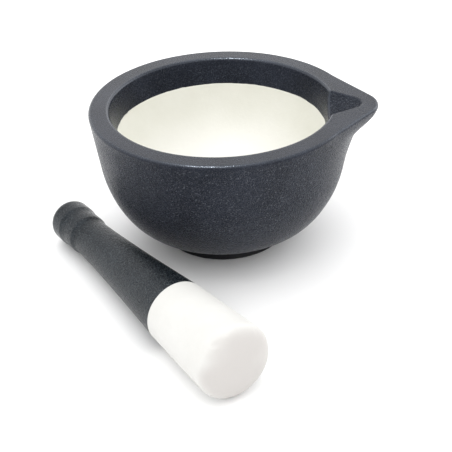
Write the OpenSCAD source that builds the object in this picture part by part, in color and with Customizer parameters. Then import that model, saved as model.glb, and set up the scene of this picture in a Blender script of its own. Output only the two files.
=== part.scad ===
// Ceramic mortar with a pouring spout, and the pestle that lies beside it.
// Millimetres. The origin is the centre of the mortar's foot, on the surface it stands on.
// +Z is up and +X points along the spout.

/* [Mortar] */
// Outer radius of the rim
rim_r = 75.5; // [75:0.1:78]
// Height of the rim above the table
rim_z = 83.3; // [82:0.1:90]
// Width of the flat top of the rim, from the bowl's edge to the outside
rim_w = 11.9; // [10:0.1:13]
// Radius of the round on the rim's outer edge
rim_round = 1.7; // [1.4:0.1:3]
// Outward lean of the wall above the belly, in degrees
wall_lean = 8.1; // [7:0.1:9]
// Height at which the leaning wall turns into the belly's curve
belly_z = 50.2; // [46:0.2:51.6]
// Radius of the belly's curve, seen from the side
belly_r = 65.9; // [63:0.1:68]
// Height at which the belly turns into the tighter curve above the foot
heel_z = 24; // [22:0.5:26]
// Radius of that tighter curve
heel_r = 39; // [38:0.1:40]

/* [Bowl inside] */
// Height of the edge of the black coat inside the bowl
coat_edge_z = 67.9; // [62:0.1:74]
// How far the wall leans in between the rim and that edge, in degrees
band_lean = 14.4; // [13:0.1:16]
// Thickness of the black coat
coat = 0.6; // [0.4:0.1:0.8]

/* [Foot ring] */
// Outer radius of the foot ring
foot_r = 37.1; // [34:0.1:37.3]
// Inner radius of the foot ring
foot_in_r = 30; // [26:0.5:31]
// Height of the foot ring
foot_h = 7; // [6:0.2:8]

/* [Spout] */
// How far the spout's tip reaches from the bowl's axis
spout_reach = 89.4; // [87:0.1:94]
// Radius of the spout's tip, seen from above
spout_tip_r = 17.4; // [15:0.1:20]
// Height at which the spout grows out of the wall
spout_root_z = 44; // [42:0.5:48]
// Half width of the pouring channel where it leaves the bowl
channel_half_w = 16.6; // [13:0.1:18]
// Width of the band that is left between the channel and the spout's tip
spout_band = 9.5; // [7:0.1:11]

/* [Pestle] */
// Length of the pestle
pestle_len = 188; // [184:1:194]
// Radius of the knob at the end of the handle
knob_r = 12.5; // [12.1:0.1:13]
// Least radius of the handle, next to the knob
grip_r = 11.1; // [10.4:0.1:11.4]
// Radius where the handle's coat ends and the bare head starts
seam_r = 17.7; // [17:0.1:18.6]
// Distance of that seam from the end of the knob
seam_at = 129.5; // [124:0.5:134]
// Largest radius of the grinding head
head_r = 20.3; // [19.5:0.1:21]
// Depth of the head's rounded end
head_crown = 8; // [6:0.2:10]

/* [Pestle on the table] */
// Where the head's widest ring touches the table, along the spout
touch_x = 12.1; // [0:0.1:30]
// Where the head's widest ring touches the table, across the spout
touch_y = -153; // [-165:0.5:-150]
// Direction from the handle to the head, in degrees from the spout
heading = -53.6; // [-60:0.1:-50]

/* [Hidden] */
$fn = 96;

WHITE = [0.94, 0.93, 0.90];
BLACK = [0.13, 0.135, 0.14];
RUBBER = [0.04, 0.04, 0.045];

arc_step = 5;              // degrees between the points of a round outline
past = 1;                  // how far a cut runs past the surface it opens

// ---- the mortar's outline, as [distance from the axis, height] ----
rim_in_r = rim_r - rim_w;
lip_round = 1.2;           // round on the rim's inner edge
lip_z = rim_z - rim_round; // where the rim's outer round starts
sole_step = 0.3;           // straight step between the foot ring and the heel's curve

function slope_at(z) = rim_r - (lip_z - z) * tan(wall_lean);
belly_mid_x = slope_at(belly_z) - belly_r * cos(wall_lean);
belly_mid_z = belly_z + belly_r * sin(wall_lean);
heel_turn = asin((belly_mid_z - heel_z) / belly_r);
heel_mid_x = belly_mid_x + (belly_r - heel_r) * cos(heel_turn);
heel_mid_z = belly_mid_z - (belly_r - heel_r) * sin(heel_turn);
sole_turn = asin(min(1, (heel_mid_z - foot_h - sole_step) / heel_r));
function wall_at(z) = z < belly_z
    ? belly_mid_x + sqrt(belly_r * belly_r - pow(z - belly_mid_z, 2))
    : slope_at(z);

// Radius of the bowl's bare inside, which is part of a sphere, and the height of its centre
band_top_z = rim_z - lip_round;
edge_r = rim_in_r - (band_top_z - coat_edge_z) * tan(band_lean);
hollow_r = edge_r / cos(band_lean);
hollow_z = coat_edge_z + hollow_r * sin(band_lean);

function clamp01(t) = max(0, min(1, t));
function ease(t) = let (u = clamp01(t)) u * u * (3 - 2 * u);
function arc(x, z, r, from, to) =
    let (n = ceil(abs(to - from) / arc_step))
    [for (i = [0:n]) let (a = from + (to - from) * i / n) [x + r * cos(a), z + r * sin(a)]];

// Outside from the foot to the rim's top, set in from the finished surface by "inset"
function outside(inset) = concat(
    [[heel_mid_x + (heel_r - inset) * cos(sole_turn), foot_h]],
    arc(heel_mid_x, heel_mid_z, heel_r - inset, -sole_turn, -heel_turn),
    arc(belly_mid_x, belly_mid_z, belly_r - inset, arc_step - heel_turn, -wall_lean),
    arc(rim_r - rim_round, lip_z, rim_round - inset, 0, 90));

// Inside from the rim's top to the bottom of the bowl, set out from the finished surface
function inside(outset) = concat(
    arc(rim_in_r + lip_round, band_top_z, lip_round - outset, 90, 180),
    arc(0, hollow_z, hollow_r + outset, -band_lean, -90));

module bowl_mass(inset) {
    top_z = rim_z - inset;
    rotate_extrude()
        polygon(concat([[0, foot_h]], outside(inset), [[0, top_z]]));
    spout_beak(inset);
}

// The room inside the bowl, down to from_z
module bowl_hollow(outset, from_z = 0) {
    rotate_extrude()
        intersection() {
            polygon(concat([[0, rim_z + past], [rim_in_r + lip_round, rim_z + past]], inside(outset)));
            translate([0, from_z]) square([rim_r, 2 * rim_z]);
        }
}

// The white ceramic, hollowed down to from_z
module core(from_z = 0) {
    difference() {
        bowl_mass(coat);
        bowl_hollow(coat, from_z);
        channel(coat);
    }
}

// ---- the spout ----
tip_fan = 10;              // degrees either side of the spout that take the tip's round
tip_step = 1.25;           // degrees between the beak's points there
flank_fan = 42;            // degrees either side of the spout that take the beak's flanks
flank_step = 4;            // degrees between the beak's points there
beak_levels = 12;          // levels from the root to the rim's round
round_levels = 4;          // levels up the rim's round
bury = 0.5;                // how deep the beak starts inside the wall
steady = 0.48;             // share of the reach that grows evenly from the root to the rim
turn_from = 0.52;          // where the rest of it starts, as a share of that height
turn_over = 0.44;          // share of that height it takes

fan = concat(
    [for (a = [-flank_fan:flank_step:-tip_fan]) a],
    [for (a = [tip_step - tip_fan:tip_step:tip_fan - 0.5 * tip_step]) a],
    [for (a = [tip_fan:flank_step:flank_fan]) a]);

// The spout grows slowly out of the wall, and then turns out to its tip below the rim
function growth(t) = steady * t + (1 - steady) * ease((t - turn_from) / turn_over);
function reach_at(z) = wall_at(z) - bury
    + (spout_reach - rim_r + bury) * growth(clamp01((z - spout_root_z) / (lip_z - spout_root_z)));

// Distance of the beak's outline from the bowl's axis: a round tip, then a straight flank to the wall
function outline_at(z, inset, a) =
    let (tip = spout_tip_r - inset,
         far = reach_at(z) - inset - tip,
         wall = wall_at(z) - inset - bury,
         side = acos(clamp01((wall - tip) / far)),
         tip_side = atan2(tip * sin(side), far + tip * cos(side)))
    abs(a) < tip_side ? far * cos(a) + sqrt(tip * tip - pow(far * sin(a), 2))
        : abs(a) < side ? wall / cos(side - abs(a))
        : wall;

// One level of the beak, all points at the same height
function beak_level(z, height, inset) = concat(
    [[0, 0, height]],
    [for (a = fan) let (r = outline_at(z, inset, a)) [r * cos(a), r * sin(a), height]]);

module spout_beak(inset) {
    flank = [for (i = [0:beak_levels]) let (z = spout_root_z + (lip_z - spout_root_z) * i / beak_levels)
        beak_level(z, z, inset)];
    crown = [for (i = [1:round_levels]) let (a = 90 * i / round_levels, r = rim_round - inset)
        beak_level(lip_z, lip_z + r * sin(a), inset + r * (1 - cos(a)))];
    levels = concat(flank, crown);
    n = len(levels[0]);
    last = (len(levels) - 1) * n;
    polyhedron(
        points = [for (level = levels) each level],
        faces = concat(
            [[for (i = [0:n - 1]) i]],
            [[for (i = [n - 1:-1:0]) last + i]],
            [for (k = [0:len(levels) - 2], i = [0:n - 1]) let (j = (i + 1) % n)
                [k * n + i, (k + 1) * n + i, (k + 1) * n + j, k * n + j]]));
}

// The pouring channel: a scoop that narrows and grows shallow towards the tip
module channel(outset) {
    mouth_spare = 1.3;     // the ball at the mouth is centred above the rim, so it is wider
    mouth_lift = 6.5;
    mouth_in = 8;          // how far inside the bowl's edge it is centred
    end_r = 8.5;
    end_lift = 4.2;
    sides = 32;
    end_x = spout_reach - spout_band - sqrt(end_r * end_r - end_lift * end_lift);
    hull() {
        translate([rim_in_r - mouth_in, 0, rim_z + mouth_lift])
            sphere(r = channel_half_w + mouth_spare + outset, $fn = sides);
        translate([end_x, 0, rim_z + end_lift])
            sphere(r = end_r + outset, $fn = sides);
    }
}

// ---- the mortar's pieces ----
module mortar_body() {
    spigot_gap = 1.5;      // the bare base stays this far above the table
    spigot_in = 1;         // how far it runs up into the bowl, so that the two are one solid
    color(WHITE) {
        core();
        translate([0, 0, spigot_gap]) cylinder(r = foot_in_r, h = foot_h - spigot_gap + spigot_in);
    }
}

module mortar_glaze() {
    color(BLACK)
        difference() {
            bowl_mass(0);
            bowl_hollow(0);
            channel(0);
            core(coat_edge_z);
        }
}

module foot_ring() {
    edge = 1.5;            // round on the ring's lower outer edge
    color(RUBBER)
        rotate_extrude()
            polygon(concat(
                [[foot_in_r, 0]],
                arc(foot_r - edge, edge, edge, -90, 0),
                [[foot_r, foot_h], [foot_in_r, foot_h]]));
}

// ---- the pestle, standing on its knob, as [distance from its axis, height] ----
knob_len = 8;              // depth of the knob's dome
knob_end = 16;             // where the first groove starts
groove = 0.4;              // how much deeper than a straight slope it is
bead_r = 11.95;            // radius of the ring between the grooves
bead_from = 24;
bead_to = 29;
grip_from = 33;            // where the second groove ends and the handle starts
head_at = pestle_len - head_crown;
crown_power = 2.6;         // squareness of the head's rounded end
grip_power = 1.3;          // how late the handle widens towards the head

function knob(inset) = concat(
    [for (a = [0:10:90]) [(knob_r - inset) * sin(a), inset + (knob_len - inset) * (1 - cos(a))]],
    [for (t = [0:0.2:1]) let (z = knob_end + (bead_from - knob_end) * t)
        [knob_r + (bead_r - knob_r) * t - inset - groove * sin(180 * t), z]],
    [[bead_r - inset, bead_to]],
    [for (t = [0.25:0.25:0.75])
        [bead_r + (grip_r - bead_r) * ease(t) - inset, bead_to + (grip_from - bead_to) * t]]);

function grip(inset) = [for (i = [0:12]) let (t = i / 12)
    [grip_r + (seam_r - grip_r) * pow(t, grip_power) - inset, grip_from + (seam_at - grip_from) * t]];

function head() = concat(
    [[seam_r, seam_at]],
    [for (a = [0:6:90]) [head_r * pow(cos(a), 2 / crown_power),
                         head_at + head_crown * pow(sin(a), 2 / crown_power)]]);

// Lays an upright pestle on the table, touching it with the knob and with the head's widest ring
tilt = atan((head_r - knob_r) / (head_at - knob_len));
axis_x = cos(heading) * cos(tilt);
axis_y = sin(heading) * cos(tilt);
module lay_down() {
    translate([touch_x - head_r * sin(tilt) * cos(heading) - head_at * axis_x,
               touch_y - head_r * sin(tilt) * sin(heading) - head_at * axis_y,
               head_r * cos(tilt) - head_at * sin(tilt)])
        rotate([0, 90 - tilt, heading])
            children();
}

module pestle_body() {
    color(WHITE)
        lay_down()
            rotate_extrude()
                polygon(concat(knob(coat), grip(coat), head()));
}

module pestle_glaze() {
    color(BLACK)
        lay_down()
            rotate_extrude()
                difference() {
                    polygon(concat(knob(0), grip(0), [[0, seam_at]]));
                    polygon(concat(knob(coat), grip(coat), [[0, seam_at + past]]));
                }
}

mortar_body();
mortar_glaze();
foot_ring();
pestle_body();
pestle_glaze();
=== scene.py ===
import math

import bmesh
import bpy
import numpy as np
from mathutils import Matrix, Vector


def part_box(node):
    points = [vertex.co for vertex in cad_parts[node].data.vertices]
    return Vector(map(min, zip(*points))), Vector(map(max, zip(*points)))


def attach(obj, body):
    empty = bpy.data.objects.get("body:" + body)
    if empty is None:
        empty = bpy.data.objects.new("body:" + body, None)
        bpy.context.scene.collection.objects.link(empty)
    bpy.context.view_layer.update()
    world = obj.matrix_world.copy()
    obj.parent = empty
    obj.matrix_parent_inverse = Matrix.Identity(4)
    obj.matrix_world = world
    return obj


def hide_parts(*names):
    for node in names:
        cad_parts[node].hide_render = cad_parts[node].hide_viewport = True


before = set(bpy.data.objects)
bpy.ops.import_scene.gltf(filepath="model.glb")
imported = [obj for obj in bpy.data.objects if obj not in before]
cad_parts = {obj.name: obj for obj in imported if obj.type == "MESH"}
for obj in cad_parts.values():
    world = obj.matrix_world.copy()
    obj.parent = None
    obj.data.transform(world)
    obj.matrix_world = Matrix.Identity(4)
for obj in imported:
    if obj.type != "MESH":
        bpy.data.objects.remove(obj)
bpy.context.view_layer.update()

# The mortar and the pestle are worked out in millimetres, and turned into metres as each mesh is built.
MM = 0.001
NOISE_SIDE = 64  # cells along each side of the noise, after which it repeats
NOISE_START = 1000.0  # cell in which the origin lies


def box_mm(*nodes):
    """Lowest and highest corner of some CAD nodes together, in millimetres."""
    corners = [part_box(node) for node in nodes]
    low = np.min([np.array(low) for low, high in corners], axis=0) / MM
    high = np.max([np.array(high) for low, high in corners], axis=0) / MM
    return low, high


# ---------------------------------------------------------------- noise and meshes
def value_noise(points, size, seed):
    """Smooth random values from -1 to 1 at points in millimetres, with features of that size."""
    values = np.random.default_rng(seed).uniform(-1, 1, (NOISE_SIDE, NOISE_SIDE, NOISE_SIDE))
    spot = points / size + NOISE_START
    cell = np.floor(spot).astype(int)
    part = spot - cell
    part = part * part * (3 - 2 * part)
    total = np.zeros(points.shape[:-1])
    for dx in (0, 1):
        for dy in (0, 1):
            for dz in (0, 1):
                weight = (
                    (part[..., 0] if dx else 1 - part[..., 0])
                    * (part[..., 1] if dy else 1 - part[..., 1])
                    * (part[..., 2] if dz else 1 - part[..., 2])
                )
                corner = (cell + (dx, dy, dz)) % NOISE_SIDE
                total += weight * values[corner[..., 0], corner[..., 1], corner[..., 2]]
    return total


def grid_normals(points):
    """Unit normals of a grid of points whose columns run round anticlockwise. They point out of a solid
    whose rows run up its outside, and into a solid whose rows run down it."""
    along = np.gradient(points, axis=0)
    around = np.roll(points, -1, axis=1) - np.roll(points, 1, axis=1)
    n = np.cross(around, along)
    return n / np.maximum(np.linalg.norm(n, axis=-1, keepdims=True), 1e-9)


def build(name, points, loop, material, grain=None):
    """A closed mesh from a grid of points in millimetres, [row, column, xyz]. With loop its last row
    joins its first, and otherwise each end is closed at the middle of its row."""
    rows, cols = points.shape[:2]
    verts = points.reshape(-1, 3)
    if not loop:
        verts = np.vstack([verts, points[0].mean(0), points[-1].mean(0)])
    i = np.arange(cols)
    j = (i + 1) % cols
    faces = []
    for row in range(rows if loop else rows - 1):
        a, b = row * cols, (row + 1) % rows * cols
        faces.extend(np.stack([a + i, a + j, b + j, b + i], 1).tolist())
    if not loop:
        first, last = rows * cols, rows * cols + 1
        faces.extend(np.stack([j, i, np.full(cols, first)], 1).tolist())
        end = (rows - 1) * cols
        faces.extend(np.stack([end + i, end + j, np.full(cols, last)], 1).tolist())
    mesh = bpy.data.meshes.new(name)
    mesh.from_pydata((verts * MM).tolist(), [], faces)
    bm = bmesh.new()
    bm.from_mesh(mesh)
    bmesh.ops.recalc_face_normals(bm, faces=bm.faces)
    bm.to_mesh(mesh)
    bm.free()
    mesh.polygons.foreach_set("use_smooth", np.ones(len(mesh.polygons), bool))
    if grain is not None:
        values = np.zeros(len(verts), np.float32)
        values[: rows * cols] = grain.reshape(-1)
        if not loop:
            values[rows * cols :] = grain[0].mean(), grain[-1].mean()
        mesh.attributes.new("grain", "FLOAT", "POINT").data.foreach_set("value", values)
    mesh.materials.append(material)
    piece = bpy.data.objects.new(name, mesh)
    bpy.context.scene.collection.objects.link(piece)
    return piece


# ---------------------------------------------------------------- materials
def new_material(name):
    mat = bpy.data.materials.new(name)
    mat.use_nodes = True
    nodes, links = mat.node_tree.nodes, mat.node_tree.links
    shader = nodes["Principled BSDF"]
    coords = nodes.new("ShaderNodeTexCoord")
    return mat, nodes, links, shader, coords.outputs["Object"]


def noise(nodes, links, vector, scale, detail=2.0, roughness=0.5):
    node = nodes.new("ShaderNodeTexNoise")
    node.inputs["Scale"].default_value = scale
    node.inputs["Detail"].default_value = detail
    node.inputs["Roughness"].default_value = roughness
    links.new(vector, node.inputs["Vector"])
    return node.outputs["Fac"]


def span(nodes, links, value, low, high, to_low=0.0, to_high=1.0):
    node = nodes.new("ShaderNodeMapRange")
    node.inputs["From Min"].default_value = low
    node.inputs["From Max"].default_value = high
    node.inputs["To Min"].default_value = to_low
    node.inputs["To Max"].default_value = to_high
    links.new(value, node.inputs["Value"])
    return node.outputs["Result"]


def math_node(nodes, links, operation, a, b):
    node = nodes.new("ShaderNodeMath")
    node.operation = operation
    for value, socket in ((a, node.inputs[0]), (b, node.inputs[1])):
        if isinstance(value, float):
            socket.default_value = value
        else:
            links.new(value, socket)
    return node.outputs[0]


def ramp(nodes, links, value, stops):
    node = nodes.new("ShaderNodeValToRGB")
    elements = node.color_ramp.elements
    while len(elements) < len(stops):
        elements.new(0.5)
    for element, (place, colour) in zip(elements, stops):
        element.position = place
        element.color = (*colour, 1)
    links.new(value, node.inputs["Fac"])
    return node.outputs["Color"]


def bump(nodes, links, height, strength, distance, normal=None):
    node = nodes.new("ShaderNodeBump")
    node.inputs["Distance"].default_value = distance
    if isinstance(strength, float):
        node.inputs["Strength"].default_value = strength
    else:
        links.new(strength, node.inputs["Strength"])
    links.new(height, node.inputs["Height"])
    if normal is not None:
        links.new(normal, node.inputs["Normal"])
    return node.outputs["Normal"]


def coat_material(name, grain_size, dark, light, painted_glint_colour, satin):
    """Black coat: fine grains with painted glints among them where the mesh's grain attribute is 1, and
    satin where it is 0.
    """
    mat, nodes, links, shader, here = new_material(name)
    attribute = nodes.new("ShaderNodeAttribute")
    attribute.attribute_name = "grain"
    grain = attribute.outputs["Fac"]
    scale = 1 / (grain_size * MM)
    fine = noise(nodes, links, here, scale, detail=3.0, roughness=0.6)
    glint_spots = noise(nodes, links, here, scale * 1.1, detail=1.0)
    cloud = noise(nodes, links, here, 45.0, detail=3.0)
    patch = noise(nodes, links, here, 14.0)
    cells = nodes.new("ShaderNodeTexVoronoi")
    cells.inputs["Scale"].default_value = scale * 0.8
    links.new(here, cells.inputs["Vector"])
    # body colour: fine grains over slow patches
    shade = math_node(nodes, links, "ADD", math_node(nodes, links, "MULTIPLY", fine, 0.5),
                      math_node(nodes, links, "MULTIPLY", cloud, 0.3))
    shade = math_node(nodes, links, "ADD", shade, math_node(nodes, links, "MULTIPLY", patch, 0.2))
    body = ramp(nodes, links, shade, [(0.40, dark), (0.60, light)])
    # pale specks painted into the colour as glints off the grains, fewer where the coat is smooth
    painted_glint = span(nodes, links, glint_spots, 0.57, 0.72)
    painted_glint = math_node(nodes, links, "MULTIPLY", painted_glint, span(nodes, links, grain, 0, 1, 0.25, 1.0))
    mix = nodes.new("ShaderNodeMix")
    mix.data_type = "RGBA"
    links.new(painted_glint, mix.inputs[0])
    links.new(body, mix.inputs[6])
    mix.inputs[7].default_value = (*painted_glint_colour, 1)
    links.new(mix.outputs[2], shader.inputs["Base Color"])
    # smooth places shine, grains hardly do
    links.new(span(nodes, links, grain, 0, 0.12, 0.6, 0.2), shader.inputs["Specular IOR Level"])
    shader.inputs["Specular Tint"].default_value = (0.80, 0.88, 1.0, 1)
    rough = math_node(nodes, links, "ADD", span(nodes, links, grain, 0, 1, satin - 0.08, satin),
                      span(nodes, links, fine, 0.35, 0.65, -0.08, 0.12))
    links.new(rough, shader.inputs["Roughness"])
    bumps = math_node(nodes, links, "ADD", fine,
                      math_node(nodes, links, "MULTIPLY", cells.outputs["Distance"], -0.5))
    links.new(bump(nodes, links, bumps, span(nodes, links, grain, 0, 1, 0.16, 1.0), 0.7 * MM),
              shader.inputs["Normal"])
    return mat


def bare_material(name, warm, pale, painted_shading):
    """Unglazed white ceramic, painted in the given shading colour where the mesh's grain attribute is 1:
    painted light in the bowl, painted shade on the pestle's end.
    """
    mat, nodes, links, shader, here = new_material(name)
    attribute = nodes.new("ShaderNodeAttribute")
    attribute.attribute_name = "grain"
    cloud = noise(nodes, links, here, 28.0, detail=4.0, roughness=0.6)
    fine = noise(nodes, links, here, 1500.0, detail=3.0, roughness=0.6)
    pits = noise(nodes, links, here, 420.0)
    mix = nodes.new("ShaderNodeMix")
    mix.data_type = "RGBA"
    links.new(attribute.outputs["Fac"], mix.inputs[0])
    links.new(ramp(nodes, links, cloud, [(0.3, warm), (0.7, pale)]), mix.inputs[6])
    mix.inputs[7].default_value = (*painted_shading, 1)
    links.new(mix.outputs[2], shader.inputs["Base Color"])
    links.new(span(nodes, links, fine, 0.3, 0.7, 0.5, 0.68), shader.inputs["Roughness"])
    normal = bump(nodes, links, fine, 0.25, 0.15 * MM)
    links.new(bump(nodes, links, pits, 0.3, 0.3 * MM, normal), shader.inputs["Normal"])
    return mat


def rubber_material(name):
    """Matt black rubber, slightly uneven."""
    mat, nodes, links, shader, here = new_material(name)
    fine = noise(nodes, links, here, 900.0, detail=3.0)
    cloud = noise(nodes, links, here, 60.0, detail=3.0)
    links.new(ramp(nodes, links, cloud, [(0.3, (0.003, 0.003, 0.0045)), (0.7, (0.007, 0.007, 0.009))]),
              shader.inputs["Base Color"])
    links.new(span(nodes, links, cloud, 0.3, 0.7, 0.5, 0.65), shader.inputs["Roughness"])
    links.new(bump(nodes, links, fine, 0.3, 0.15 * MM), shader.inputs["Normal"])
    shader.inputs["Specular IOR Level"].default_value = 0.25
    return mat


def plain_floor_material(name):
    """Pale and matt, with a slightly uneven sheen."""
    mat, nodes, links, shader, here = new_material(name)
    links.new(span(nodes, links, noise(nodes, links, here, 6.0), 0.3, 0.7, 0.55, 0.65),
              shader.inputs["Roughness"])
    shader.inputs["Base Color"].default_value = (0.93, 0.93, 0.93, 1)
    return mat


# each coat's pale speck colour is a painted glint
COAT = coat_material(
    "black_coat_wall", grain_size=0.75, satin=0.28,
    dark=(0.003, 0.004, 0.008), light=(0.017, 0.020, 0.030), painted_glint_colour=(0.09, 0.095, 0.11))
HANDLE_COAT = coat_material(
    "black_coat_handle", grain_size=0.75, satin=0.24,
    dark=(0.002, 0.0035, 0.005), light=(0.010, 0.014, 0.018), painted_glint_colour=(0.10, 0.115, 0.12))
# the last colour of each is painted: paler light towards the bowl's bottom, darker pinkish shade on the
# head's end face
BARE_BOWL = bare_material(
    "bare_ceramic_bowl", warm=(0.66, 0.655, 0.58), pale=(0.72, 0.715, 0.65), painted_shading=(0.82, 0.81, 0.77))
BARE_HEAD = bare_material(
    "bare_ceramic_head", warm=(0.61, 0.605, 0.58), pale=(0.67, 0.665, 0.645), painted_shading=(0.52, 0.498, 0.48))
RUBBER = rubber_material("rubber_foot")

# ---------------------------------------------------------------- the mortar's shape
coat_low, coat_high = box_mm("mortar_glaze")
foot_low, foot_high = box_mm("foot_ring")
centre = (foot_low + foot_high) / 2
table = foot_low[2]

# Heights are above the table, and radii are from the bowl's axis. Most names follow the CAD's source.
RIM_R = centre[0] - coat_low[0]
RIM_Z = coat_high[2] - table
RIM_W = 11.9
RIM_ROUND = 1.7
WALL_LEAN = math.radians(8.1)
BELLY_Z = 50.2
BELLY_R = 65.9
HEEL_Z = 24.0
HEEL_R = 39.0
EDGE_Z = 67.9  # the coat's edge inside the bowl
BAND_LEAN = math.radians(14.4)
COAT_T = 0.6
FOOT_R = foot_high[0] - centre[0]
FOOT_H = foot_high[2] - table
FOOT_IN_R = 30.0
SPIGOT_GAP = 1.5
SPOUT_REACH = coat_high[0] - centre[0]
SPOUT_TIP_R = 17.4
SPOUT_ROOT_Z = 44.0
SPOUT_BAND = 9.5
STEADY = 0.48
TURN_FROM = 0.52
TURN_OVER = 0.44
BURY = 0.5
CHANNEL_HALF_W = 16.6
MOUTH_SPARE = 1.3
MOUTH_LIFT = 6.5
MOUTH_IN = 8
END_R = 8.5
END_LIFT = 4.2
CAD_LIP_ROUND = 1.2

# Only in the visual model
LIP_ROUND = 1.6  # the rim's inner edge, a little rounder than in the CAD
CHANNEL_ROUND = 0.9  # how softly the channel's edge is rounded
FILLET = 2.2  # between the spout and the wall
FILLET_FADE = 14.0  # height below the rim over which it closes up
FILLET_END = 1.15  # radians from the spout at which there is none left
BAND_GRAIN = 0.15  # how granular the coat is on the band, where 1 is most
RIM_GRAIN = 0.22
SPOUT_GRAIN = 0.3  # added to the rim's, next to the spout
CHANNEL_GRAIN = 0.78  # added to the rim's, on the channel's floor
BODY_GAP = 0.15  # between the coat's back and the ceramic behind it
BOWL_DROP = 0.12  # how far the bare bowl lies below the CAD's surface

RIM_IN_R = RIM_R - RIM_W
LIP_Z = RIM_Z - RIM_ROUND
BELLY_MID_X = RIM_R - (LIP_Z - BELLY_Z) * math.tan(WALL_LEAN) - BELLY_R * math.cos(WALL_LEAN)
BELLY_MID_Z = BELLY_Z + BELLY_R * math.sin(WALL_LEAN)
HEEL_TURN = math.asin((BELLY_MID_Z - HEEL_Z) / BELLY_R)
HEEL_MID_X = BELLY_MID_X + (BELLY_R - HEEL_R) * math.cos(HEEL_TURN)
HEEL_MID_Z = BELLY_MID_Z - (BELLY_R - HEEL_R) * math.sin(HEEL_TURN)
BAND_TOP_Z = RIM_Z - CAD_LIP_ROUND
EDGE_R = RIM_IN_R - (BAND_TOP_Z - EDGE_Z) * math.tan(BAND_LEAN)
HOLLOW_R = EDGE_R / math.cos(BAND_LEAN)
HOLLOW_Z = EDGE_Z + HOLLOW_R * math.sin(BAND_LEAN)


def ease(t):
    t = np.clip(t, 0, 1)
    return t * t * (3 - 2 * t)


def wall_at(z):
    """Radius of the wall's outside at a height, without the spout."""
    z = np.asarray(z, float)
    slope = RIM_R - (LIP_Z - z) * math.tan(WALL_LEAN)
    belly = BELLY_MID_X + np.sqrt(np.maximum(BELLY_R**2 - (z - BELLY_MID_Z) ** 2, 0))
    heel = HEEL_MID_X + np.sqrt(np.maximum(HEEL_R**2 - (z - HEEL_MID_Z) ** 2, 0))
    return np.select([z < HEEL_Z, z < BELLY_Z], [heel, belly], slope)


def reach_at(z):
    """How far the spout reaches at a height."""
    t = np.clip((z - SPOUT_ROOT_Z) / (LIP_Z - SPOUT_ROOT_Z), 0, 1)
    growth = STEADY * t + (1 - STEADY) * ease((t - TURN_FROM) / TURN_OVER)
    return wall_at(z) - BURY + (SPOUT_REACH - RIM_R + BURY) * growth


def outline(z, turn, inset=0.0):
    """Radius of the outside at a height and an angle from the spout: wall, straight flank or round tip."""
    tip = SPOUT_TIP_R - inset
    wall = wall_at(z) - inset
    buried = wall - BURY
    far = np.maximum(reach_at(z) - inset, buried + 1e-6) - tip
    side = np.arccos(np.clip((buried - tip) / far, 0, 1))
    tip_side = np.arctan2(tip * np.sin(side), far + tip * np.cos(side))
    turn = np.abs(turn)
    round_part = far * np.cos(turn) + np.sqrt(np.maximum(tip**2 - (far * np.sin(turn)) ** 2, 0))
    flank = buried / np.cos(np.clip(side - turn, 0, 1.4))
    beak = np.where(turn < tip_side, round_part, np.where(turn < side, flank, buried))
    beak = np.where(z > SPOUT_ROOT_Z, beak, buried)
    # the beak runs into the wall with a fillet, which narrows towards the rim
    fillet = FILLET * ease((FILLET_END - turn) / 0.5) * np.clip((LIP_Z - z) / FILLET_FADE, 0, 1) + 1e-3
    share = np.clip(0.5 + 0.5 * (beak - wall) / fillet, 0, 1)
    return beak * share + wall * (1 - share) + fillet * share * (1 - share)


def channel_at(x, y):
    """Height of the pouring channel's floor, which is the underside of two joined balls."""
    mouth_r = CHANNEL_HALF_W + MOUTH_SPARE
    mouth_x = RIM_IN_R - MOUTH_IN
    end_x = SPOUT_REACH - SPOUT_BAND - math.sqrt(END_R**2 - END_LIFT**2)
    lowest = np.full(x.shape, 1e6)
    for t in np.linspace(0, 1, 60):
        ball_r = mouth_r + (END_R - mouth_r) * t
        ball_x = mouth_x + (end_x - mouth_x) * t
        ball_z = RIM_Z + MOUTH_LIFT + (END_LIFT - MOUTH_LIFT) * t
        inside = ball_r**2 - (x - ball_x) ** 2 - y**2
        under = ball_z - np.sqrt(np.maximum(inside, 0))
        lowest = np.where(inside > 0, np.minimum(lowest, under), lowest)
    return lowest


def rim_top(r, turn):
    """Height of the rim's top, with the channel let into it and its edge slightly rounded."""
    channel = channel_at(r * np.cos(turn), r * np.sin(turn))
    share = np.clip(0.5 + 0.5 * (RIM_Z - channel) / CHANNEL_ROUND, 0, 1)
    return channel * share + RIM_Z * (1 - share) - CHANNEL_ROUND * share * (1 - share)


def band_r(z):
    """Radius of the bowl's inside at a height, in the coated band."""
    return EDGE_R + (z - EDGE_Z) * math.tan(BAND_LEAN)


def turns(coarse, fine, fan=44):
    """Angles once round from the spout, closer together near it."""
    fan = math.radians(fan)
    near = np.linspace(-fan, fan, fine, endpoint=False)
    rest = np.linspace(fan, 2 * math.pi - fan, coarse, endpoint=False)
    return np.concatenate([near, rest])


def place(r, z, turn):
    """Points at a radius, a height and an angle from the spout, where the mortar stands."""
    r, z, turn = np.broadcast_arrays(r, z, turn)
    return np.stack([centre[0] + r * np.cos(turn), centre[1] + r * np.sin(turn), table + z], -1)


def signed(turn):
    """The same angle, from minus to plus half a turn."""
    return (turn + math.pi) % (2 * math.pi) - math.pi


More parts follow.
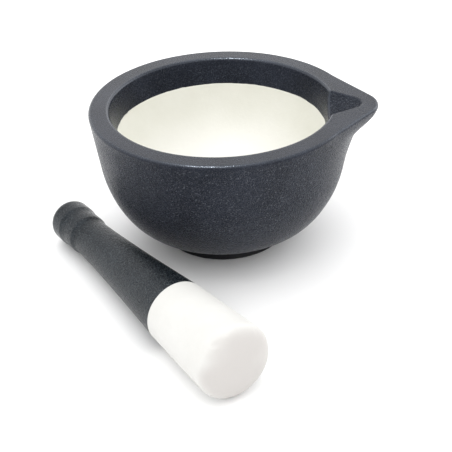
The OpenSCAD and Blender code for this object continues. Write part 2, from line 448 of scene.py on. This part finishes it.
def coat_outside(turn, inset, edge, top_rows, wall_rows):
    """Rows of the coat's surface from its edge in the bowl over the rim and down to the foot:
    points, and how granular each is."""
    s = signed(turn)
    # where the band meets the rim's top, or the channel's floor
    meet_z = np.full(turn.shape, RIM_Z)
    for _ in range(12):
        meet_z = 0.5 * (meet_z + rim_top(band_r(meet_z), s))
    meet_z = np.maximum(meet_z, edge + 1.5)
    meet_r = band_r(meet_z)
    rows, grains = [], []

    def add(r, z, grain):
        rows.append(place(r, z, turn))
        grains.append(np.broadcast_to(grain, turn.shape))

    for t in np.linspace(0, 1, 26):
        z = edge + (meet_z - LIP_ROUND - edge) * t
        add(band_r(z) + inset, z, BAND_GRAIN)
    # the rounded inner edge, as a curve between the band and the rim's top
    lip_r = meet_r + LIP_ROUND
    lip_z = rim_top(lip_r, s) - inset
    for t in np.linspace(0, 1, 8)[1:-1]:
        a, b, c = (1 - t) ** 2, 2 * t * (1 - t), t * t
        add(a * (band_r(meet_z - LIP_ROUND) + inset) + b * (meet_r + inset) + c * lip_r,
            a * (meet_z - LIP_ROUND) + b * (meet_z - inset) + c * lip_z, 0.0)
    outer = outline(np.full(turn.shape, LIP_Z), s) - RIM_ROUND
    for t in np.linspace(0, 1, top_rows):
        r = lip_r + (outer - lip_r) * t
        top = rim_top(r, s)
        depth = RIM_Z - top
        in_channel = np.clip(depth - 0.2, 0, 1)
        near = SPOUT_GRAIN * np.exp(-((s / 0.5) ** 2))
        # the channel's brink is smooth and shines
        brink = np.exp(-(((depth - 0.4) / 0.35) ** 2))
        add(r, top - inset, (RIM_GRAIN + near + (CHANNEL_GRAIN - near) * in_channel) * (1 - brink))
    # the rim's outer round, which is smoothest at its top
    lift = RIM_ROUND - inset
    for a in np.radians(np.linspace(0, 90, 9)[1:]):
        r = outline(np.full(turn.shape, LIP_Z), s, inset + lift * (1 - math.sin(a)))
        add(r, np.full(turn.shape, LIP_Z + lift * math.cos(a)), 0.3 * (a / 1.57) ** 6)
    # rows an even distance apart along the wall, which is smoother near the foot
    down = np.linspace(LIP_Z, FOOT_H, 2000)
    length = np.concatenate([[0], np.cumsum(np.hypot(np.diff(wall_at(down)), np.diff(down)))])
    for z in np.interp(np.linspace(0, length[-1], wall_rows)[1:], length, down):
        r = outline(np.full(turn.shape, z), s, inset)
        rough_up_high = 1 - 0.6 * float(ease((45 - z) / 25))
        add(r, np.full(turn.shape, z), min(1.0, 0.35 + (LIP_Z - z) / 4) * rough_up_high)
    return np.array(rows), np.array(grains)


def make_coat():
    """The black coat: its grainy face, and its back against the ceramic."""
    turn = turns(460, 300)
    here = place(EDGE_R, 0, turn)
    edge = EDGE_Z + 0.35 * value_noise(here, 9.0, 3) + 0.25 * value_noise(here, 3.0, 4)
    out, grain = coat_outside(turn, 0.0, edge, 34, 84)
    dent = 0.12 * (value_noise(out, 26.0, 11) + 1) * 0.5
    dent = dent + grain * 0.07 * (value_noise(out, 1.1, 12) + 1) * 0.5
    dent = dent + grain * 0.05 * (value_noise(out, 2.6, 13) + 1) * 0.5
    out = out + grid_normals(out) * dent[..., None]
    back, _ = coat_outside(turn, COAT_T - 0.05, edge, 26, 60)
    back = back[::-1]
    points = np.concatenate([out, back])
    grains = np.concatenate([grain, np.zeros(back.shape[:2])])
    return build("mortar_coat", points, True, COAT, grains)


def make_bowl():
    """The bare ceramic: the smooth inside of the bowl, and the rest of the body under the coat."""
    turn = turns(300, 150)
    # the bowl, from its bottom to the coat's edge
    angles = (math.pi / 2 - BAND_LEAN) * np.linspace(0, 1, 120)[1:]
    inside = np.array([
        place(HOLLOW_R * math.sin(a), HOLLOW_Z - HOLLOW_R * math.cos(a), turn) for a in angles])
    inside[..., 2] -= BOWL_DROP
    under, _ = coat_outside(turn, COAT_T + BODY_GAP, np.full(turn.shape, EDGE_Z), 34, 84)
    # the raised base inside the foot ring, with a rounded edge
    side = FOOT_IN_R - 0.4
    base = np.array([place(r, z, turn) for r, z in (
        (FOOT_IN_R, FOOT_H), (side, FOOT_H - 1), (side, SPIGOT_GAP + 0.8), (side - 0.8, SPIGOT_GAP),
        (FOOT_IN_R / 2, SPIGOT_GAP), (2.0, SPIGOT_GAP))])
    painted_shading = np.zeros((len(inside) + len(under) + len(base), len(turn)))
    # painted light: the bowl's inside is painted paler towards its bottom, leaving its upper wall darker
    painted_shading[: len(inside)] = ease((58 - (inside[..., 2] - table)) / 30)
    points = np.concatenate([inside, under, base])
    return build("mortar_bare_body", points, False, BARE_BOWL, painted_shading)


def make_foot():
    """The rubber ring, with a hollowed sole, a rounded lower edge and a slightly hollow side."""
    turn = np.linspace(0, 2 * math.pi, 360, endpoint=False)
    edge = 1.5
    top = FOOT_H - 0.2
    sole_from = FOOT_IN_R + 1
    sole_to = FOOT_R - edge
    profile = [(FOOT_IN_R, top), (FOOT_IN_R, 1.0), (FOOT_IN_R + 0.3, 0.3), (sole_from, 0.0)]
    profile += [(sole_from + (sole_to - sole_from) * t, 0.25 * math.sin(math.pi * t))
                for t in np.linspace(0, 1, 8)[1:]]
    profile += [(sole_to + edge * math.sin(a), edge - edge * math.cos(a))
                for a in np.radians(np.linspace(10, 90, 8))]
    profile += [(FOOT_R - 0.35 * math.sin(math.pi * t), edge + (top - edge) * t)
                for t in np.linspace(0, 1, 9)[1:]]
    points = np.array([place(r, z, turn) for r, z in profile])
    return build("foot_ring_rubber", points, True, RUBBER)


# ---------------------------------------------------------------- the pestle's shape
# Distances along it are from the end of its knob. Most names follow the CAD's source.
LENGTH = 188.0
KNOB_R = 12.5
KNOB_LEN = 8.0
KNOB_END = 16.0
GROOVE = 0.4
BEAD_R = 11.95
BEAD_FROM = 24.0
BEAD_TO = 29.0
GRIP_FROM = 33.0
GRIP_R = 11.1
GRIP_POWER = 1.3
SEAM_R = 17.7
SEAM_AT = 129.5
HEAD_R = 20.3
HEAD_CROWN = 8.0
CROWN_POWER = 2.6
HEADING = math.radians(-53.6)
HEAD_AT = LENGTH - HEAD_CROWN
TILT = math.atan((HEAD_R - KNOB_R) / (HEAD_AT - KNOB_LEN))


def pestle_radius(s):
    """Radius of the pestle at a distance from the end of its knob, up to the head's crown."""
    s = np.asarray(s, float)
    dome = KNOB_R * np.sqrt(np.clip(1 - (1 - s / KNOB_LEN) ** 2, 0, 1))
    t = np.clip((s - KNOB_END) / (BEAD_FROM - KNOB_END), 0, 1)
    groove = KNOB_R + (BEAD_R - KNOB_R) * t - GROOVE * np.sin(math.pi * t)
    neck = BEAD_R + (GRIP_R - BEAD_R) * ease((s - BEAD_TO) / (GRIP_FROM - BEAD_TO))
    grip = GRIP_R + (SEAM_R - GRIP_R) * np.clip((s - GRIP_FROM) / (SEAM_AT - GRIP_FROM), 0, 1) ** GRIP_POWER
    head = SEAM_R + (HEAD_R - SEAM_R) * np.clip((s - SEAM_AT) / (HEAD_AT - SEAM_AT), 0, 1)
    return np.select(
        [s < KNOB_LEN, s < KNOB_END, s < BEAD_FROM, s < BEAD_TO, s < GRIP_FROM, s < SEAM_AT],
        [dome, np.full(s.shape, KNOB_R), groove, np.full(s.shape, BEAD_R), neck, grip], head)


def lathe(stations, radii, columns=300):
    """A turned shape that stands on the origin, as rows of points at some heights."""
    turn = np.linspace(0, 2 * math.pi, columns, endpoint=False)
    x = radii[:, None] * np.cos(turn)
    y = radii[:, None] * np.sin(turn)
    z = np.broadcast_to(stations[:, None], x.shape)
    return np.stack([x, y, z], -1)


def lie_down(points):
    """Turns a pestle that stands on its knob at the origin to the way it lies."""
    turned = Matrix.Rotation(HEADING, 3, "Z") @ Matrix.Rotation(math.pi / 2 - TILT, 3, "Y")
    return points @ np.array(turned).T


def press_in(points, depth):
    """Moves the surface of a turned shape inwards, by its own depth at each point."""
    return points - grid_normals(points) * depth[..., None]


def handle_shape():
    """The handle's outside up to the seam: its points, and the distance along it of each row."""
    knob = [KNOB_LEN * (1 - math.cos(a)) for a in np.radians(np.linspace(1.5, 90, 22))]
    stations = np.concatenate([knob, np.arange(KNOB_LEN + 0.5, SEAM_AT, 0.5), [SEAM_AT]])
    return lathe(stations, pestle_radius(stations)), stations


def head_shape():
    """The head's outside, from the seam to the end of its crown."""
    side = np.linspace(SEAM_AT, HEAD_AT, 90)
    crown_turn = np.radians(np.linspace(0, 88.5, 44))[1:]
    crown_r = HEAD_R * np.cos(crown_turn) ** (2 / CROWN_POWER)
    crown = HEAD_AT + HEAD_CROWN * np.sin(crown_turn) ** (2 / CROWN_POWER)
    return lathe(np.concatenate([side, crown]), np.concatenate([pestle_radius(side + 1e-6), crown_r]))


def place_of_pestle(*shapes):
    """How far the pestle is moved, once it has been laid down, to fill its box in the CAD."""
    laid = lie_down(np.concatenate(shapes).reshape(-1, 3))
    low, high = box_mm("pestle_body", "pestle_glaze")
    return (low + high) / 2 - (laid.min(0) + laid.max(0)) / 2


def make_handle(handle, stations, shift):
    """The handle's coat, grainier away from the knob: a shell as thick as the CAD's."""
    grain = np.ones(handle.shape[:2])
    grain *= (0.25 + 0.35 * ease((stations - 6) / 26.0))[:, None]
    dent = 0.10 * (value_noise(handle, 18.0, 21) + 1) * 0.5
    dent = dent + grain * 0.06 * (value_noise(handle, 1.1, 22) + 1) * 0.5
    dent[-1] = dent[-2] * 0.3 + 0.1
    skin = press_in(handle, dent)
    back = np.concatenate([np.arange(SEAM_AT, KNOB_LEN, -1.0), [KNOB_LEN, 5.0, 3.0, 1.5]])
    inner = lathe(np.maximum(back, COAT_T + 0.1), np.maximum(pestle_radius(back) - COAT_T + 0.05, 2.0))
    points = np.concatenate([skin, inner])
    grains = np.concatenate([grain, np.zeros(inner.shape[:2])])
    return build("pestle_handle_coat", lie_down(points) + shift, False, HANDLE_COAT, grains)


def make_head(head, shift):
    """The bare head, chipped round its end face, and the core that runs on inside the handle's coat."""
    dent = 0.12 * (value_noise(head, 14.0, 31) + 1) * 0.5 + 0.05 * (value_noise(head, 2.4, 32) + 1) * 0.5
    chips = np.clip(value_noise(head, 4.0, 35) - 0.2, 0, 1)
    dent = dent + 0.6 * chips * np.exp(-(((head[..., 2] - HEAD_AT - 4.0) / 2.5) ** 2))
    dent[0] = 0.02
    face = press_in(head, dent)
    along = np.concatenate([[3.0, 5.0], np.arange(KNOB_LEN, SEAM_AT, 1.0), [SEAM_AT]])
    core = lathe(along, pestle_radius(along) - COAT_T - BODY_GAP)
    # the end face is painted darker and pinker as painted shade where it turns from the light, up to an
    # uneven edge
    rim = HEAD_AT + 0.5 + 2.0 * value_noise(head, 9.0, 33)
    painted_shading = np.concatenate([np.zeros(core.shape[:2]), ease((head[..., 2] - rim) / 7.0)])
    return build("pestle_bare_head", lie_down(np.concatenate([core, face])) + shift, False, BARE_HEAD, painted_shading)


coat = make_coat()
bowl = make_bowl()
foot = make_foot()
handle_points, handle_stations = handle_shape()
head_points = head_shape()
pestle_shift = place_of_pestle(handle_points, head_points)
handle = make_handle(handle_points, handle_stations, pestle_shift)
head = make_head(head_points, pestle_shift)

for piece, body, node, slot in (
    (coat, "mortar", "mortar_glaze", "black_coat"),
    (bowl, "mortar", "mortar_body", "bare_ceramic"),
    (foot, "mortar", "foot_ring", "foot_rubber"),
    (handle, "pestle", "pestle_glaze", "black_coat"),
    (head, "pestle", "pestle_body", "bare_ceramic"),
):
    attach(piece, body)
    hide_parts(node)

# ---------------------------------------------------------------- floor, light and camera
FLOOR_HALF_M = 6.0
FLOOR_GAP_M = 0.0002  # keeps the floor clear of the foot

floor_mat = plain_floor_material("floor")
floor_mesh = bpy.data.meshes.new("floor")
corners = [(x * FLOOR_HALF_M, y * FLOOR_HALF_M, 0) for x, y in ((-1, -1), (1, -1), (1, 1), (-1, 1))]
floor_mesh.from_pydata(corners, [], [(0, 1, 2, 3)])
floor_mesh.materials.append(floor_mat)
floor = bpy.data.objects.new("floor", floor_mesh)
floor.location.z = table * MM - FLOOR_GAP_M
bpy.context.scene.collection.objects.link(floor)

world = bpy.data.worlds.new("studio")
bpy.context.scene.world = world
world.use_nodes = True
background = world.node_tree.nodes["Background"]
background.inputs["Color"].default_value = (1, 1, 1, 1)
background.inputs["Strength"].default_value = 1.36


def area_light(name, place_m, power, size_m):
    """A round lamp that faces the middle of the mortar's foot."""
    data = bpy.data.lights.new(name, "AREA")
    data.energy = power
    data.shape = "DISK"
    data.size = size_m
    lamp = bpy.data.objects.new(name, data)
    lamp.location = place_m
    lamp.rotation_mode = "QUATERNION"
    lamp.rotation_quaternion = (-Vector(place_m)).to_track_quat("-Z", "Y")
    bpy.context.scene.collection.objects.link(lamp)
    return lamp


area_light("back", (-0.1, 1.3, 1.0), power=1.8, size_m=1.1)
area_light("overhead", (-0.25, 0.0, 1.7), power=8, size_m=1.7)
# a small lamp that is seen in glossy reflections only, for the glints on the rim
glint = area_light("above_front", (-0.2, -0.45, 1.5), power=16, size_m=0.14)
glint.visible_diffuse = False
area_light("back_right", (1.1, 0.75, 0.6), power=3, size_m=0.9)

camera_data = bpy.data.cameras.new("camera")
camera_data.sensor_width = 36
camera_data.lens = 85.5
camera_data.clip_start = 0.01
camera = bpy.data.objects.new("camera", camera_data)
camera.location = (0.0387, -0.5536, 0.3487)
camera.rotation_euler = [math.radians(a) for a in (57.863, 1.673, 2.883)]
bpy.context.scene.collection.objects.link(camera)
bpy.context.scene.camera = camera
bpy.context.scene.view_settings.view_transform = "Standard"
